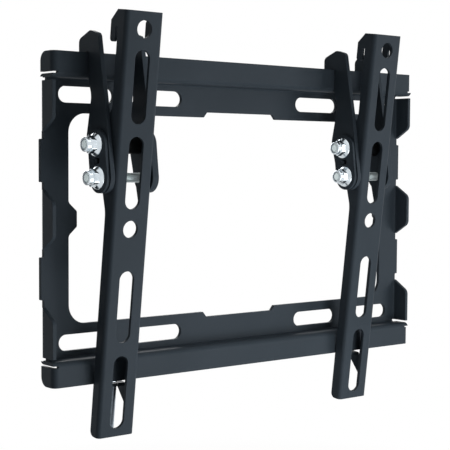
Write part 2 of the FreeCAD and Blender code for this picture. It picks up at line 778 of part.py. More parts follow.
def build_hook_plate(label, side):
    """Build the hook plate on one side of an arm (-1 left, 1 right)."""
    body = new_body(label)
    start = HOOK_INNER if side > 0 else -HOOK_OUTER
    inner = HOOK_INNER * side
    outer = HOOK_OUTER * side
    plate = new_sketch(body, "YZ_Plane", start)
    draw_outline(plate, hook_outline())
    pad(body, plate, S.hook_plate)
    openings = new_sketch(body, "YZ_Plane")
    draw_circle(openings, PIVOT_Y, PIVOT_Z, BOLT_HOLE)
    turns = (CLAMP_ANGLE, CLAMP_ANGLE + S.tilt_travel)
    draw_arc_slot(openings, (PIVOT_Y, PIVOT_Z), CLAMP_ORBIT, turns, S.bolt + 2 * S.slot_clearance)
    cut(body, openings)
    peg_y = PIVOT_Y + S.peg_orbit * sine(S.peg_angle)
    peg_z = PIVOT_Z + S.peg_orbit * cosine(S.peg_angle)
    peg = new_sketch(body, "YZ_Plane", outer)
    draw_circle(peg, peg_y, peg_z, S.peg)
    pad(body, peg, S.clamp_plate, backwards=side < 0)
    dent = new_sketch(body, "YZ_Plane", inner)
    draw_circle(dent, peg_y, peg_z, S.peg)
    cut(body, dent, depth=S.clamp_plate, along=side > 0)
    return body


def build_clamp_plate(label, side):
    """Build the plate under a pair of nuts or bolt heads, with a slot for the hook plate's peg."""
    body = new_body(label)
    start = CLAMP_INNER if side > 0 else -STACK
    pivot = (S.pivot_in_arm, -S.pivot_down_arm)
    clamp = (S.clamp_in_arm, -S.clamp_down_arm)
    plate = new_sketch(body, "YZ_Plane", start)
    draw_slot(plate, pivot, clamp, 2 * S.clamp_plate_round)
    pad(body, plate, S.clamp_plate)
    openings = new_sketch(body, "YZ_Plane")
    draw_circle(openings, *pivot, BOLT_HOLE)
    draw_circle(openings, *clamp, BOLT_HOLE)
    last = S.peg_angle + TILT
    draw_arc_slot(openings, pivot, S.peg_orbit, (last - S.tilt_travel, last), S.peg + 2 * S.peg_clearance)
    cut(body, openings)
    return body


def build_bolt(label):
    """Turn a bolt along X with a flanged hex head on the right, its end flush with the nut."""
    body = new_body(label)
    tip = -(STACK + S.nut_height)
    head_cone = STACK + S.nut_flange_edge + S.nut_flange_rise
    profile = new_sketch(body, "XY_Plane")
    draw_outline(profile, [(tip, ZERO), (head_cone, ZERO), (head_cone, S.nut_across_flats / 2),
                           (STACK + S.nut_flange_edge, S.nut_flange / 2), (STACK, S.nut_flange / 2),
                           (STACK, S.bolt / 2), (tip + S.thread_lead, S.bolt / 2),
                           (tip, S.bolt / 2 - S.thread_lead)])
    revolve(body, profile)
    head = new_sketch(body, "YZ_Plane", STACK)
    draw_hexagon(head, S.nut_across_flats)
    pad(body, head, S.bolt_head_height)
    return body


def build_lock_nut(label):
    """Build a flanged lock nut on the bolt's left end, with a recess for its nylon ring."""
    body = new_body(label)
    end = -(STACK + S.nut_height)
    cone = -(STACK + S.nut_flange_edge + S.nut_flange_rise)
    profile = new_sketch(body, "XY_Plane")
    draw_outline(profile, [(-STACK, ZERO), (-STACK, S.nut_flange / 2),
                           (-(STACK + S.nut_flange_edge), S.nut_flange / 2),
                           (cone, S.nut_across_flats / 2), (cone, S.nut_collar / 2),
                           (end, S.nut_collar / 2, S.nut_insert_wall), (end, ZERO)])
    revolve(body, profile)
    flats = new_sketch(body, "YZ_Plane", -STACK)
    draw_hexagon(flats, S.nut_across_flats)
    pad(body, flats, S.nut_hex_height, backwards=True)
    bore = new_sketch(body, "YZ_Plane")
    draw_circle(bore, ZERO, ZERO, BOLT_HOLE)
    cut(body, bore)
    recess = new_sketch(body, "YZ_Plane", end)
    draw_circle(recess, ZERO, ZERO, S.nut_collar - 2 * S.nut_insert_wall)
    cut(body, recess, depth=S.nut_height - S.nut_hex_height, along=True)
    return body


def build_tube(label, outside, start, length):
    """Build a plain ring or sleeve on a bolt, from a place on its axis."""
    body = new_body(label)
    ring = new_sketch(body, "YZ_Plane", start)
    draw_circle(ring, ZERO, ZERO, outside)
    draw_circle(ring, ZERO, ZERO, BOLT_HOLE)
    pad(body, ring, length)
    return body


def build_safety_screw(label):
    """Turn the safety screw along X, from its pan head to its tip, which is level with the tab's top."""
    body = new_body(label)
    length = S.arm_foot + S.safety_head_below + S.safety_head_height
    profile = new_sketch(body, "XY_Plane")
    draw_outline(profile, [(ZERO, ZERO), (length, ZERO), (length, S.safety_screw / 2 - S.thread_lead),
                           (length - S.thread_lead, S.safety_screw / 2),
                           (S.safety_head_height, S.safety_screw / 2),
                           (S.safety_head_height, S.safety_head / 2),
                           (ZERO, S.safety_head / 2, S.safety_head_round)])
    revolve(body, profile)
    return body


def arm_placement(across):
    """Return the placement of an arm's frame: tilted about the pivot, at its place on the rail."""
    turn = FreeCAD.Rotation(VECTOR(1, 0, 0), TILT.number)
    pivot = VECTOR(0, S.pivot_in_arm.number, -S.pivot_down_arm.number)
    base = VECTOR(across.number, PIVOT_Y.number, PIVOT_Z.number) - turn.multVec(pivot)
    return FreeCAD.Placement(base, turn)


def build_arm(side, across):
    """Build all pieces of one arm and set them in their places."""
    on_rail = FreeCAD.Placement(VECTOR(across.number, 0, 0), FreeCAD.Rotation())
    on_arm = arm_placement(across)
    pieces = []

    def place(body, placement):
        body.Placement = placement
        pieces.append(body)

    place(build_arm_channel(f"{side}_arm_channel"), on_arm)
    place(build_safety_tab(f"{side}_arm_safety_tab"), on_arm)
    for name, hand in (("left", -1), ("right", 1)):
        place(build_hook_plate(f"{side}_arm_{name}_hook_plate", hand), on_rail)
        place(build_clamp_plate(f"{side}_arm_{name}_clamp_plate", hand), on_arm)
    insert_start = -(STACK + S.nut_height)
    insert_outside = S.nut_collar - 2 * S.nut_insert_wall
    for name, into, down in (("pivot", S.pivot_in_arm, S.pivot_down_arm),
                             ("clamp", S.clamp_in_arm, S.clamp_down_arm)):
        seat = on_arm.multiply(FreeCAD.Placement(VECTOR(0, into.number, -down.number), FreeCAD.Rotation()))
        place(build_bolt(f"{side}_arm_{name}_bolt"), seat)
        place(build_lock_nut(f"{side}_arm_{name}_lock_nut"), seat)
        insert = build_tube(f"{side}_arm_{name}_nut_insert", insert_outside, insert_start,
                            S.nut_height - S.nut_hex_height)
        place(insert, seat)
        if name == "clamp":
            sleeve = build_tube(f"{side}_arm_spacer_sleeve", S.sleeve, -ARM_INNER, 2 * ARM_INNER)
            place(sleeve, seat)
    foot = ARM_BELOW + S.safety_head_below + S.safety_head_height
    upright = FreeCAD.Rotation(VECTOR(0, 1, 0), -90)
    screw_base = VECTOR(S.safety_screw_side.number, S.safety_screw_in_arm.number, -foot.number)
    screw = build_safety_screw(f"{side}_arm_safety_screw")
    place(screw, on_arm.multiply(FreeCAD.Placement(screw_base, upright)))
    return pieces


def write_parts(bodies):
    """Check every object of the document, then write each sub-part to its own file."""
    DOC.recompute()
    for item in DOC.Objects:
        if "Invalid" in item.State or "Error" in item.State:
            raise RuntimeError(f"{item.Label} failed: {item.State}")
    for body in bodies:
        if body.Shape.isNull() or not body.Shape.isValid() or len(body.Shape.Solids) != 1:
            raise RuntimeError(f"{body.Label} is not one sound solid")
    os.makedirs("parts", exist_ok=True)
    for body in bodies:
        body.Shape.exportStep(f"parts/{body.Label}.step")
        print(f"{body.Label}: {body.Shape.Volume / 1000:.2f} cm3")


PARTS = [build_wall_plate()]
PARTS += build_arm("left", S.left_arm_inset - HALF_WIDTH)
PARTS += build_arm("right", HALF_WIDTH - S.right_arm_inset)
write_parts(PARTS)
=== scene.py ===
"""Looks of a tilting tv wall mount: black powder coat, zinc fasteners and a plain studio."""
import json
import logging
import math
from dataclasses import dataclass, field
from enum import Enum

import bmesh
import bpy
from mathutils import Matrix, Vector

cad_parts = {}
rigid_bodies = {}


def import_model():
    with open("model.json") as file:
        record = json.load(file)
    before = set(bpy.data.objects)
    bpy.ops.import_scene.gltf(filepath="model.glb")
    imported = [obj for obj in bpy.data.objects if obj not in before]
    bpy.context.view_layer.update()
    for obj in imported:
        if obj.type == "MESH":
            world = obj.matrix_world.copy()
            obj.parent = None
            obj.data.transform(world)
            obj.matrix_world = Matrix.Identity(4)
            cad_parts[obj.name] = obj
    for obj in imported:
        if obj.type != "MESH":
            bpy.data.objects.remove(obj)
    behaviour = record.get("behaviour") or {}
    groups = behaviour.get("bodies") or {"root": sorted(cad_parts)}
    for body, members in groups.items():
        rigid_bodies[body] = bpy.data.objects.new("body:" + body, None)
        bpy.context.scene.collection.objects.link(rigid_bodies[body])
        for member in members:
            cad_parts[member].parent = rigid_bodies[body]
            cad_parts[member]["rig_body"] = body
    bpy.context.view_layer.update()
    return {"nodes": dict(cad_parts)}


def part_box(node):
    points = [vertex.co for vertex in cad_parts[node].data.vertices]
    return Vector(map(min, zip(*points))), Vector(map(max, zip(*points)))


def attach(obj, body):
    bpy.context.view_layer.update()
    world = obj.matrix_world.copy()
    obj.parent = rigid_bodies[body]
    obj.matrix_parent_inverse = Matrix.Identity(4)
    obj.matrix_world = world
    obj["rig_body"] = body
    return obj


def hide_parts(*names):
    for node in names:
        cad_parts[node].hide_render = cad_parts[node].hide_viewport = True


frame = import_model()
LOG = logging.getLogger("tv_mount")

MM = 0.001
FULL_TURN = 2.0 * math.pi
ROUND_STEPS = 48
MERGE_MM = 0.01
SHARP_ANGLE = math.radians(35.0)
X_AXIS = (1.0, 0.0, 0.0)
ACROSS_X = Matrix.Rotation(math.pi / 2, 4, "Y")
ROUND_SEGMENTS = 3
NUMBER = "NodeSocketFloat"
WHITE = (1.0, 1.0, 1.0, 1.0)
# Noise of the fine grain and of the slow drift, and how far specks reach from the middle of a cell
GRAIN_DETAIL = 3.0
GRAIN_ROUGHNESS = 0.6
DRIFT_DETAIL = 4.0
FLECK_END = 0.30
FLECK_FULL = 0.12
EDGE_SAMPLES = 6
# The parts of the drift and of the grain that are spread over a finish's whole range
DRIFT_RANGE = (0.3, 0.7)
GRAIN_RANGE = (0.25, 0.75)
# One pitch of thread, as shares of the pitch and of the thread's depth
THREAD_FORM = ((0.0, 0.0), (0.12, 0.0), (0.46, 1.0), (0.62, 1.0), (1.0, 0.0))

Colour = tuple[float, float, float, float]
Profile = list[tuple[float, float]]
Mesh = bmesh.types.BMesh
Tree = bpy.types.NodeTree
Node = bpy.types.Node
Socket = bpy.types.NodeSocket
Piece = bpy.types.Object


class Side(Enum):
    """The two arms of the mount, and the two plates of a kind on each of them."""

    LEFT = "left"
    RIGHT = "right"


class Fastener(Enum):
    """The two bolts of a tilt joint."""

    PIVOT = "pivot"
    CLAMP = "clamp"


class Slot(Enum):
    """The names of the record's material slots."""

    ZINC = "zinc"
    NYLON = "nylon"
    SCREW = "zinc_screw"


def link(tree: Tree, source: Socket, target: Socket) -> None:
    """Join two sockets of a node tree."""
    tree.links.new(source, target)


def new_group(name: str, inputs: tuple[str, ...], outputs: dict[str, str]) -> tuple[Tree, Node, Node]:
    """Start a shader node group.

    Args:
        name: the group's name.
        inputs: names of its number inputs.
        outputs: names of its outputs with their socket types.

    Returns:
        The group, its input node and its output node.
    """
    group = bpy.data.node_groups.new(name, "ShaderNodeTree")
    for label in inputs:
        group.interface.new_socket(label, in_out="INPUT", socket_type=NUMBER)
    for label, kind in outputs.items():
        group.interface.new_socket(label, in_out="OUTPUT", socket_type=kind)
    return group, group.nodes.new("NodeGroupInput"), group.nodes.new("NodeGroupOutput")


def grain_group() -> Tree:
    """Build the shared grain effect over Object coordinates, once.

    Returns:
        A group with inputs Fine and Broad, in cycles per metre. Height is the fine relief, Patch a slow
        drift and Fleck a mask of small specks.
    """
    name = "surface_grain"
    if name in bpy.data.node_groups:
        return bpy.data.node_groups[name]
    outputs = {"Height": NUMBER, "Patch": NUMBER, "Fleck": NUMBER}
    group, entry, leave = new_group(name, ("Fine", "Broad"), outputs)
    nodes = group.nodes
    place = nodes.new("ShaderNodeTexCoord")
    fine = nodes.new("ShaderNodeTexNoise")
    fine.inputs["Detail"].default_value = GRAIN_DETAIL
    fine.inputs["Roughness"].default_value = GRAIN_ROUGHNESS
    broad = nodes.new("ShaderNodeTexNoise")
    broad.inputs["Detail"].default_value = DRIFT_DETAIL
    cells = nodes.new("ShaderNodeTexVoronoi")
    for texture, rate in ((fine, "Fine"), (broad, "Broad"), (cells, "Fine")):
        link(group, place.outputs["Object"], texture.inputs["Vector"])
        link(group, entry.outputs[rate], texture.inputs["Scale"])
    fleck = nodes.new("ShaderNodeMapRange")
    fleck.inputs["From Min"].default_value = FLECK_END
    fleck.inputs["From Max"].default_value = FLECK_FULL
    link(group, cells.outputs["Distance"], fleck.inputs["Value"])
    link(group, fine.outputs["Fac"], leave.inputs["Height"])
    link(group, broad.outputs["Fac"], leave.inputs["Patch"])
    link(group, fleck.outputs["Result"], leave.inputs["Fleck"])
    return group


def edge_group() -> Tree:
    """Build the shared soft edge effect, once.

    Returns:
        A group with inputs Radius, in metres, and Gain. Normal is rounded over the edges, and the other
        output is a mask of them, along which the finish paints a highlight in a lighter colour.
    """
    name = "soft_edge"
    if name in bpy.data.node_groups:
        return bpy.data.node_groups[name]
    group, entry, leave = new_group(name, ("Radius", "Gain"), {"Normal": "NodeSocketVector", "Edge": NUMBER})
    nodes = group.nodes
    rounded = nodes.new("ShaderNodeBevel")
    rounded.samples = EDGE_SAMPLES
    surface = nodes.new("ShaderNodeNewGeometry")
    agree = nodes.new("ShaderNodeVectorMath")
    agree.operation = "DOT_PRODUCT"
    turned = nodes.new("ShaderNodeMath")
    turned.operation = "SUBTRACT"
    turned.inputs[0].default_value = 1.0
    gained = nodes.new("ShaderNodeMath")
    gained.operation = "MULTIPLY"
    gained.use_clamp = True
    link(group, entry.outputs["Radius"], rounded.inputs["Radius"])
    link(group, rounded.outputs["Normal"], agree.inputs[0])
    link(group, surface.outputs["Normal"], agree.inputs[1])
    link(group, agree.outputs["Value"], turned.inputs[1])
    link(group, turned.outputs["Value"], gained.inputs[0])
    link(group, entry.outputs["Gain"], gained.inputs[1])
    link(group, rounded.outputs["Normal"], leave.inputs["Normal"])
    # mask of the painted highlight along edges: one minus how well the rounded and the true normal agree
    link(group, gained.outputs["Value"], leave.inputs["Edge"])
    return group


@dataclass(frozen=True)
class Finish:
    """One finish: its colours, gloss, grain and edges.

    The dark and the light colour drift into each other over the surface. The edge colour shows in specks
    and, being lighter than the base, along edges as a painted highlight.
    """

    name: str
    dark: Colour
    light: Colour
    # edge: the colour of the specks, and of a painted highlight along edges
    edge: Colour
    rough_low: float
    rough_high: float
    metallic: float = 0.0
    specular: float = 0.5
    fine: float = 2200.0
    broad: float = 22.0
    bump: float = 0.2
    bump_depth: float = 0.00005
    edge_round: float = 0.0004
    # how strongly the painted highlight along edges shows
    edge_highlight_gain: float = 2.0
    fleck: float = 0.3

    def material(self) -> bpy.types.Material:
        """Build the finish's material, once.

        Returns:
            The material.
        """
        if self.name in bpy.data.materials:
            return bpy.data.materials[self.name]
        material = bpy.data.materials.new(self.name)
        material.use_nodes = True
        tree = material.node_tree
        shader = tree.nodes["Principled BSDF"]
        shader.inputs["Metallic"].default_value = self.metallic
        shader.inputs["Specular IOR Level"].default_value = self.specular
        grain = self._placed(tree, grain_group(), {"Fine": self.fine, "Broad": self.broad})
        rim = self._placed(tree, edge_group(), {"Radius": self.edge_round, "Gain": self.edge_highlight_gain})
        self._colour(tree, grain, rim, shader)
        self._gloss(tree, grain, shader)
        self._relief(tree, grain, rim, shader)
        return material

    def _placed(self, tree: Tree, group: Tree, values: dict[str, float]) -> Node:
        """Place a shared group in the material with its own values.

        Args:
            tree: the material's nodes.
            group: the shared group.
            values: its input values by name.

        Returns:
            The group's node.
        """
        node = tree.nodes.new("ShaderNodeGroup")
        node.node_tree = group
        for label, value in values.items():
            node.inputs[label].default_value = value
        return node

    def _colour(self, tree: Tree, grain: Node, rim: Node, shader: Node) -> None:
        """Drift the base colour, then lay the edge colour over specks, and over edges as a painted
        highlight.

        Args:
            tree: the material's nodes.
            grain: the placed grain group.
            rim: the placed soft edge group.
            shader: the shader whose base colour is set.
        """
        ramp = tree.nodes.new("ShaderNodeValToRGB")
        for stop, place, colour in zip(ramp.color_ramp.elements, DRIFT_RANGE, (self.dark, self.light)):
            stop.position = place
            stop.color = colour
        link(tree, grain.outputs["Patch"], ramp.inputs["Fac"])
        speck = tree.nodes.new("ShaderNodeMath")
        speck.operation = "MULTIPLY"
        speck.inputs[1].default_value = self.fleck
        link(tree, grain.outputs["Fleck"], speck.inputs[0])
        # the edge colour goes where there are specks, or where the painted highlight along edges is
        share = tree.nodes.new("ShaderNodeMath")
        share.operation = "MAXIMUM"
        link(tree, speck.outputs["Value"], share.inputs[0])
        link(tree, rim.outputs["Edge"], share.inputs[1])
        mix = tree.nodes.new("ShaderNodeMixRGB")
        mix.inputs["Color2"].default_value = self.edge
        link(tree, share.outputs["Value"], mix.inputs["Fac"])
        link(tree, ramp.outputs["Color"], mix.inputs["Color1"])
        link(tree, mix.outputs["Color"], shader.inputs["Base Color"])

    def _gloss(self, tree: Tree, grain: Node, shader: Node) -> None:
        """Vary the roughness with the fine grain.

        Args:
            tree: the material's nodes.
            grain: the placed grain group.
            shader: the shader whose roughness is set.
        """
        spread = tree.nodes.new("ShaderNodeMapRange")
        spread.inputs["From Min"].default_value, spread.inputs["From Max"].default_value = GRAIN_RANGE
        spread.inputs["To Min"].default_value = self.rough_low
        spread.inputs["To Max"].default_value = self.rough_high
        link(tree, grain.outputs["Height"], spread.inputs["Value"])
        link(tree, spread.outputs["Result"], shader.inputs["Roughness"])

    def _relief(self, tree: Tree, grain: Node, rim: Node, shader: Node) -> None:
        """Raise the fine grain over the softened edges.

        Args:
            tree: the material's nodes.
            grain: the placed grain group.
            rim: the placed soft edge group.
            shader: the shader whose normal is set.
        """
        bump = tree.nodes.new("ShaderNodeBump")
        bump.inputs["Strength"].default_value = self.bump
        bump.inputs["Distance"].default_value = self.bump_depth
        link(tree, grain.outputs["Height"], bump.inputs["Height"])
        link(tree, rim.outputs["Normal"], bump.inputs["Normal"])
        link(tree, bump.outputs["Normal"], shader.inputs["Normal"])


# Each edge colour is lighter than its base: it is the colour of the specks, and a painted highlight along
# edges.
COAT = Finish("powder_coat_black", dark=(0.036, 0.048, 0.060, 1.0), light=(0.043, 0.056, 0.070, 1.0),
              edge=(0.062, 0.077, 0.093, 1.0), rough_low=0.40, rough_high=0.58, specular=0.06, bump=0.35)
SLEEVE = Finish("sleeve_black", dark=(0.008, 0.009, 0.010, 1.0), light=(0.012, 0.013, 0.014, 1.0),
                edge=(0.018, 0.019, 0.020, 1.0), rough_low=0.45, rough_high=0.60, specular=0.1)
ZINC = Finish("zinc_bright", dark=(0.56, 0.63, 0.68, 1.0), light=(0.72, 0.78, 0.82, 1.0),
              edge=(0.86, 0.90, 0.93, 1.0), rough_low=0.14, rough_high=0.26, metallic=1.0, fine=3200.0,
              broad=260.0, bump=0.12, bump_depth=0.00002, edge_round=0.0002, edge_highlight_gain=1.2, fleck=0.15)
SATIN_ZINC = Finish("zinc_satin", dark=(0.58, 0.66, 0.67, 1.0), light=(0.70, 0.77, 0.78, 1.0),
                    edge=(0.80, 0.85, 0.86, 1.0), rough_low=0.42, rough_high=0.55, metallic=1.0, fine=3200.0,
                    broad=260.0, bump=0.12, bump_depth=0.00002, edge_round=0.0001, edge_highlight_gain=1.0, fleck=0.15)
DULL_ZINC = Finish("zinc_dull", dark=(0.34, 0.39, 0.44, 1.0), light=(0.48, 0.54, 0.59, 1.0),
                   edge=(0.62, 0.67, 0.71, 1.0), rough_low=0.30, rough_high=0.46, metallic=1.0, fine=3200.0,
                   broad=260.0, bump=0.15, bump_depth=0.00002, edge_round=0.0002, edge_highlight_gain=1.2, fleck=0.2)
NYLON = Finish("nylon_pale", dark=(0.64, 0.71, 0.78, 1.0), light=(0.75, 0.81, 0.86, 1.0),
               edge=(0.82, 0.87, 0.91, 1.0), rough_low=0.38, rough_high=0.50, fine=1800.0, broad=180.0,
               bump=0.1, edge_round=0.0002, fleck=0.1)


def dress(node: str, finish: Finish) -> None:
    """Give a CAD node its finish.

    Args:
        node: name of the CAD node.
        finish: the finish for all of its faces.
    """
    piece = frame["nodes"][node]
    piece.data.materials.clear()
    piece.data.materials.append(finish.material())
    LOG.info("%s dressed in %s", node, finish.name)


def spin_profile(shape: Mesh, profile: Profile, closed: bool = False) -> None:
    """Turn a profile about the X axis.

    Args:
        shape: the mesh that gets the turned shell.
        profile: corners as (along, radius) in millimetres.
        closed: whether the last corner joins the first, as in a ring.
    """
    corners = [shape.verts.new((along * MM, radius * MM, 0.0)) for along, radius in profile]
    edges = [shape.edges.new(pair) for pair in zip(corners, corners[1:])]
    if closed:
        edges.append(shape.edges.new((corners[-1], corners[0])))
    bmesh.ops.spin(shape, geom=corners + edges, cent=(0.0, 0.0, 0.0), axis=X_AXIS, angle=FULL_TURN,
                   steps=ROUND_STEPS, use_merge=True)
    bmesh.ops.remove_doubles(shape, verts=shape.verts[:], dist=MERGE_MM * MM)


def round_ring(shape: Mesh, along: float, radius: float, size: float) -> None:
    """Round the ring of edges at one corner of a turned shell.

    Args:
        shape: the mesh with the shell.
        along: the corner's place along X, in millimetres.
        radius: its distance from the axis.
        size: how far the rounding reaches.
    """
    def on_ring(vert: bmesh.types.BMVert) -> bool:
        """Tell whether a vertex is on the ring."""
        reach = math.hypot(vert.co.y, vert.co.z) / MM
        return abs(vert.co.x / MM - along) < MERGE_MM and abs(reach - radius) < MERGE_MM

    ring = [edge for edge in shape.edges if all(on_ring(vert) for vert in edge.verts)]
    bmesh.ops.bevel(shape, geom=ring, offset=size * MM, affect="EDGES", segments=ROUND_SEGMENTS, profile=0.5,
                    material=-1)


def make_piece(shape: Mesh, name: str, finish: Finish, place: Matrix) -> Piece:
    """Turn a mesh into a dressed piece, with its place in the mesh.

    Args:
        shape: the finished mesh, which is freed.
        name: the piece's name.
        finish: its finish.
        place: where the mesh goes.

    Returns:
        The new piece.
    """
    bmesh.ops.transform(shape, matrix=place, verts=shape.verts[:])
    bmesh.ops.recalc_face_normals(shape, faces=shape.faces[:])
    for face in shape.faces:
        face.smooth = True
    for edge in shape.edges:
        edge.smooth = edge.calc_face_angle(0.0) < SHARP_ANGLE
    mesh = bpy.data.meshes.new(name)
    shape.to_mesh(mesh)
    shape.free()
    mesh.materials.append(finish.material())
    piece = bpy.data.objects.new(name, mesh)
    bpy.context.scene.collection.objects.link(piece)
    return piece


def stand_for(piece: Piece, node: str) -> None:
    """Let a piece stand for a CAD node and ride on its body.

    Args:
        piece: the detailed piece.
        node: the CAD node that it stands for.
    """
    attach(piece, frame["nodes"][node]["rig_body"])
    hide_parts(node)
    LOG.info("%s stands for %s, %d faces", piece.name, node, len(piece.data.polygons))


@dataclass
class LockNut:
    """A flanged hex lock nut with a collar round its insert, in millimetres outwards from its seat."""

    bore: float = 2.5
    flange: float = 5.9
    flange_edge: float = 0.9
    flange_round: float = 0.3
    cone_end: float = 2.2
    cone_radius: float = 4.1
    across_flats: float = 8.0
    hex_end: float = 5.0
    hex_edge: float = 0.35
    hex_edge_segments: int = 2
    hex_corners: int = 6
    collar_start: float = 4.5
    collar_foot: float = 3.85
    collar: float = 3.7
    collar_lip: float = 0.6
    insert: float = 3.0
    insert_sunk: float = 0.15
    insert_edge: float = 0.15
    height: float = 7.3
    turn: float = 30.0

    def nut(self) -> Mesh:
        """Build the flange, the hexagon and the collar.

        Returns:
            The nut's mesh.
        """
        shape = bmesh.new()
        spin_profile(shape, [(0.0, self.bore), (0.0, self.flange), (self.flange_edge, self.flange),
                             (self.cone_end, self.cone_radius), (self.cone_end, self.bore)], closed=True)
        round_ring(shape, self.flange_edge, self.flange, self.flange_round)
        spin_profile(shape, [(self.collar_start, self.insert), (self.collar_start, self.collar_foot),
                             (self.hex_end, self.collar), (self.height, self.collar),
                             (self.height, self.insert)], closed=True)
        round_ring(shape, self.height, self.collar, self.collar_lip)
        self._hexagon(shape)
        return shape

    def _hexagon(self, shape: Mesh) -> None:
        """Raise the hexagon with one flat to the front and soften its edges.

        Args:
            shape: the nut's mesh.
        """
        corner = self.across_flats / math.sqrt(3.0)
        seat = Matrix.Translation((self.flange_edge * MM, 0.0, 0.0))
        place = seat @ Matrix.Rotation(math.radians(self.turn), 4, "X") @ ACROSS_X
        made = bmesh.ops.create_circle(shape, cap_ends=True, segments=self.hex_corners, radius=corner * MM,
                                       matrix=place)
        base = list({face for vert in made["verts"] for face in vert.link_faces})
        raised = bmesh.ops.extrude_face_region(shape, geom=base)
        lifted = [item for item in raised["geom"] if isinstance(item, bmesh.types.BMVert)]
        bmesh.ops.translate(shape, verts=lifted, vec=((self.hex_end - self.flange_edge) * MM, 0.0, 0.0))
        edges = list({edge for vert in lifted for edge in vert.link_edges})
        bmesh.ops.bevel(shape, geom=edges, offset=self.hex_edge * MM, affect="EDGES",
                        segments=self.hex_edge_segments, profile=0.5, material=-1)

    def ring(self) -> Mesh:
        """Build the insert's ring.

        Returns:
            The ring's mesh.
        """
        shape = bmesh.new()
        end = self.height - self.insert_sunk
        spin_profile(shape, [(self.hex_end, self.bore), (self.hex_end, self.insert), (end, self.insert),
                             (end, self.bore)], closed=True)
        round_ring(shape, end, self.bore, self.insert_edge)
        return shape


@dataclass
class Screw:
    """A pan head screw along X with its head's seat at zero, in millimetres."""

    shank: float
    pitch: float
    length: float
    head: float
    head_height: float
    thread_depth: float = 0.42
    rim: float = 0.40
    crown: float = 0.66
    crown_round: float = 0.5
    tip: float = 0.8
    tip_taper: float = 0.25
    recess: float = 0.52
    recess_arm: float = 0.55
    recess_depth: float = 0.62
    recess_taper: float = 0.6
    thread_steps: int = 24

    def mesh(self) -> Mesh:
        """Build the thread, the tip and the head.

        Returns:
            The screw's mesh.
        """
        shape = bmesh.new()
        self._thread(shape)
        root = self.shank - self.thread_depth
        spin_profile(shape, [(-self.length, 0.0), (-self.length, root - self.tip_taper),
                             (self.tip - self.length, root), (self.tip - self.length, 0.0)])
        self._head(shape)
        return shape

    def _thread(self, shape: Mesh) -> None:
        """Wind one pitch of thread along the shank and trim it at both ends.

        Args:
            shape: the screw's mesh, still empty.
        """
        root = self.shank - self.thread_depth
        start = self.tip / 2 - self.length
        corners = [shape.verts.new(((start + (part - 1.0) * self.pitch) * MM,
                                    (root + rise * self.thread_depth) * MM, 0.0))
                   for part, rise in THREAD_FORM]
        edges = [shape.edges.new(pair) for pair in zip(corners, corners[1:])]
        turns = math.ceil(-start / self.pitch) + 2
        advance = (self.pitch / self.thread_steps * MM, 0.0, 0.0)
        bmesh.ops.spin(shape, geom=corners + edges, cent=(0.0, 0.0, 0.0), axis=X_AXIS, dvec=advance,
                       angle=FULL_TURN * turns, steps=self.thread_steps * turns)
        bmesh.ops.remove_doubles(shape, verts=shape.verts[:], dist=MERGE_MM * MM)
        for end, outward in ((start, -1.0), (0.0, 1.0)):
            everything = shape.verts[:] + shape.edges[:] + shape.faces[:]
            bmesh.ops.bisect_plane(shape, geom=everything, plane_co=(end * MM, 0.0, 0.0),
                                   plane_no=(outward, 0.0, 0.0), clear_outer=True)
        bmesh.ops.holes_fill(shape, edges=[edge for edge in shape.edges if edge.is_boundary], sides=0)

    def _head(self, shape: Mesh) -> None:
        """Turn the pan head and sink a cross into its crown.

        Args:
            shape: the screw's mesh, closed so far.
        """
        crown = self.head * self.crown
        spin_profile(shape, [(0.0, 0.0), (0.0, self.head), (self.head_height * self.rim, self.head),
                             (self.head_height, crown)])
        round_ring(shape, self.head_height * self.rim, self.head, self.crown_round)
        rim = [edge for edge in shape.edges if edge.is_boundary]
        cross = self._cross(shape)
        bound = [edge for edge in {edge for face in cross for edge in face.edges} if edge.is_boundary]
        bmesh.ops.triangle_fill(shape, edges=rim + bound, use_beauty=True, normal=X_AXIS)
        sunk = bmesh.ops.extrude_face_region(shape, geom=cross)
        floor = [item for item in sunk["geom"] if isinstance(item, bmesh.types.BMVert)]
        bmesh.ops.translate(shape, verts=floor, vec=(-self.head_height * self.recess_depth * MM, 0.0, 0.0))
        bmesh.ops.scale(shape, verts=floor, vec=(1.0, self.recess_taper, self.recess_taper))

    def _cross(self, shape: Mesh) -> list[bmesh.types.BMFace]:
        """Lay a flat cross on the crown.

        Args:
            shape: the screw's mesh.

        Returns:
            The cross's faces.
        """
        half = self.head * self.recess * MM
        place = Matrix.Translation((self.head_height * MM, 0.0, 0.0)) @ ACROSS_X
        grid = bmesh.ops.create_grid(shape, x_segments=3, y_segments=3, size=half, matrix=place)
        inner = half / 2
        narrow_y = [vert for vert in grid["verts"] if abs(vert.co.y) < inner]
        narrow_z = [vert for vert in grid["verts"] if abs(vert.co.z) < inner]
        bmesh.ops.scale(shape, verts=narrow_y, vec=(1.0, self.recess_arm, 1.0))
        bmesh.ops.scale(shape, verts=narrow_z, vec=(1.0, 1.0, self.recess_arm))
        faces = list({face for vert in grid["verts"] for face in vert.link_faces})
        middles = {face: face.calc_center_median() for face in faces}
        corners = [face for face, middle in middles.items() if min(abs(middle.y), abs(middle.z)) > inner / 2]
        cross = [face for face in faces if face not in corners]
        bmesh.ops.delete(shape, geom=corners, context="FACES")
        return cross


class WallPlate:
    """The folded wall plate."""

    def build(self) -> None:
        """Dress the plate's sheet."""
        dress("wall_plate", COAT)


